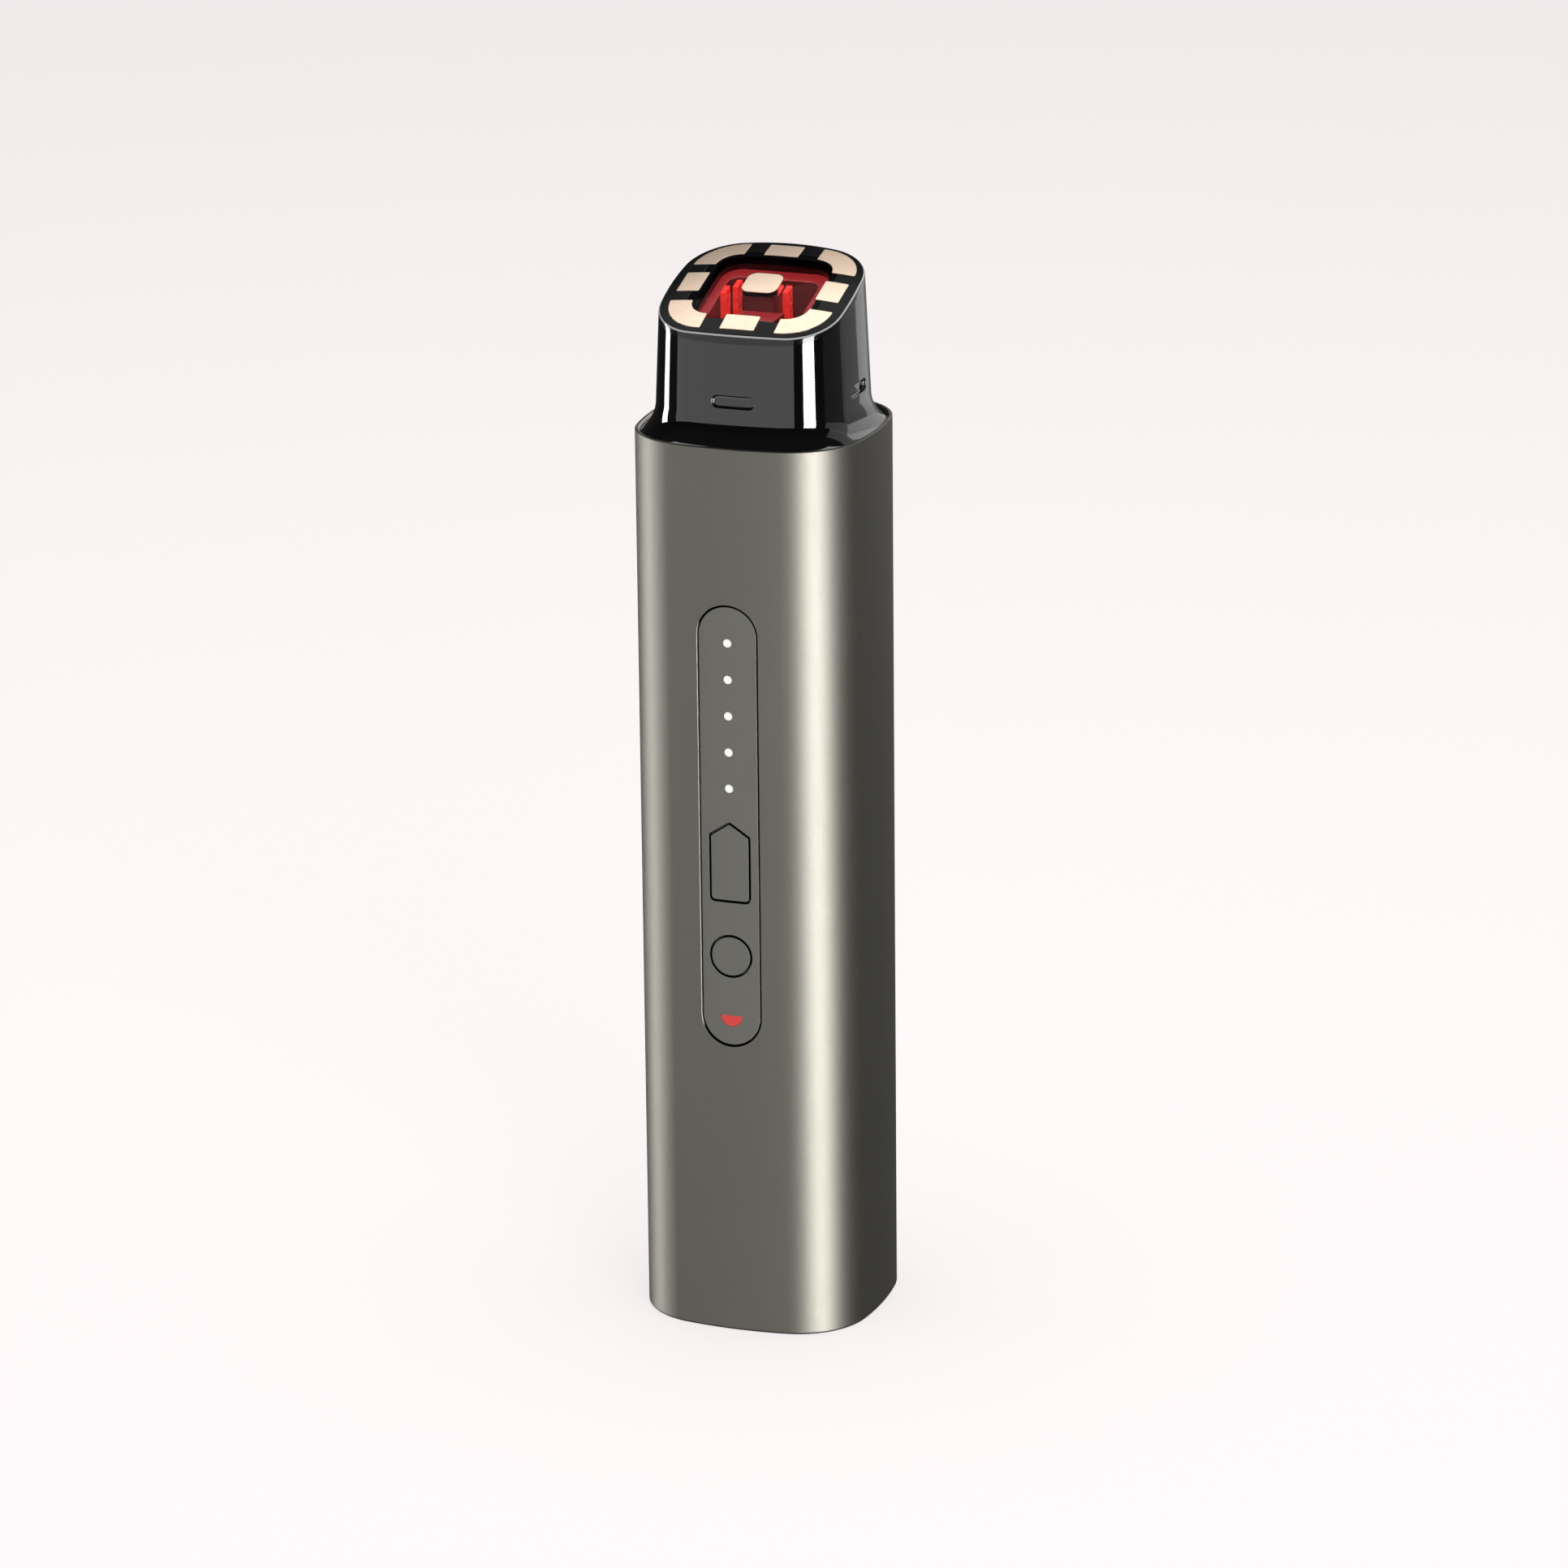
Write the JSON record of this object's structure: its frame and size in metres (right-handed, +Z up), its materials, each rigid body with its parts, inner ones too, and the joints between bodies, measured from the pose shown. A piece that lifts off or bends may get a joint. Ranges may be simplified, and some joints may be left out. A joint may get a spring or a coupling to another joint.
{
  "type": "facial toning device",
  "caption": "Handheld facial toning wand: square-round sleeve, control panel with push buttons, slanted head with skin electrodes over a red light well.",
  "frame": {"origin": "centre of the base, where the sleeve's end and the base cap rest on a table", "axes": "+Z up the sleeve's axis to the head, -Y out of the control panel, +X to the right of someone who faces the panel"},
  "size_m": [0.04, 0.0386, 0.1812],
  "materials": {
    "sleeve_metal": "satin anodised, warm gunmetal grey",
    "base_plastic": "fine matt dark grey",
    "frame_plastic": "matt black moulded plastic",
    "panel_metal": "satin anodised, warm gunmetal grey, a little lighter",
    "light_plastic": "milky white light pipe",
    "red_lens": "red lens",
    "black_rubber": "soft black",
    "chip_black": "black epoxy",
    "steel": "bright steel",
    "circuit_board": "green solder mask",
    "ferrite": "dark grey ferrite",
    "copper_wire": "enamelled copper wire",
    "capacitor_can": "sleeved aluminium can",
    "cell_wrap": "blue shrink wrap over the cell",
    "nickel": "nickel strip",
    "lead_sheath": "insulated leads, red and black",
    "flex": "amber polyimide film",
    "head_gloss": "high gloss black",
    "face_black": "deep black, smooth",
    "rose_gold": "polished pinkish gold plate",
    "red_plastic": "red, moulded",
    "red_window": "clear dark red, polished",
    "white_board": "white solder mask",
    "gold_pins": "gold plate"
  },
  "bodies": {
    "wand": {"outer_sleeve": "sleeve_metal", "base_cap": "base_plastic", "front_frame": "frame_plastic", "rear_frame": "frame_plastic", "control_panel": "panel_metal", "level_light_pipe": "light_plastic", "status_lens": "red_lens", "panel_gasket": "black_rubber", "switch_housings": "steel", "main_board": "circuit_board", "indicator_leds": "light_plastic", "board_chips": "chip_black", "transformer_core": "ferrite", "transformer_bobbin": "chip_black", "transformer_winding": "copper_wire", "capacitors": "capacitor_can", "choke_core": "ferrite", "choke_coil": "copper_wire", "battery_cell": "cell_wrap", "battery_tabs": "nickel", "battery_leads": "lead_sheath", "charge_board": "circuit_board", "charge_port": "steel", "charge_tongue": "chip_black", "charge_flex": "flex", "base_screws": "steel", "frame_screws": "steel", "board_screws": "steel", "charge_screws": "steel", "head_screws": "steel", "light_screws": "steel", "head_shell": "head_gloss", "head_frame": "frame_plastic", "face_plate": "face_black", "face_seal": "black_rubber", "corner_electrodes": "rose_gold", "side_electrodes": "rose_gold", "centre_electrode": "rose_gold", "centre_post": "red_plastic", "light_window": "red_window", "reflector_cup": "red_plastic", "light_guides": "red_lens", "light_board": "white_board", "red_leds": "red_lens", "contact_sleeves": "gold_pins", "contact_pins": "gold_pins", "head_flex": "flex"},
    "power_button_body": {"power_button": "panel_metal", "power_switch_stem": "chip_black"},
    "level_button_body": {"level_button": "panel_metal", "level_switch_stem": "chip_black"}
  },
  "joints": [
    {"name": "power_press", "type": "slide", "parent": "wand", "child": "power_button_body", "axis": [0, 1, 0], "range_m": [0, 0.0005], "stiffness_N_per_m": 1500, "springref_m": -0.0003},
    {"name": "level_press", "type": "slide", "parent": "wand", "child": "level_button_body", "axis": [0, 1, 0], "range_m": [0, 0.0005], "stiffness_N_per_m": 1500, "springref_m": -0.0003}
  ]
}
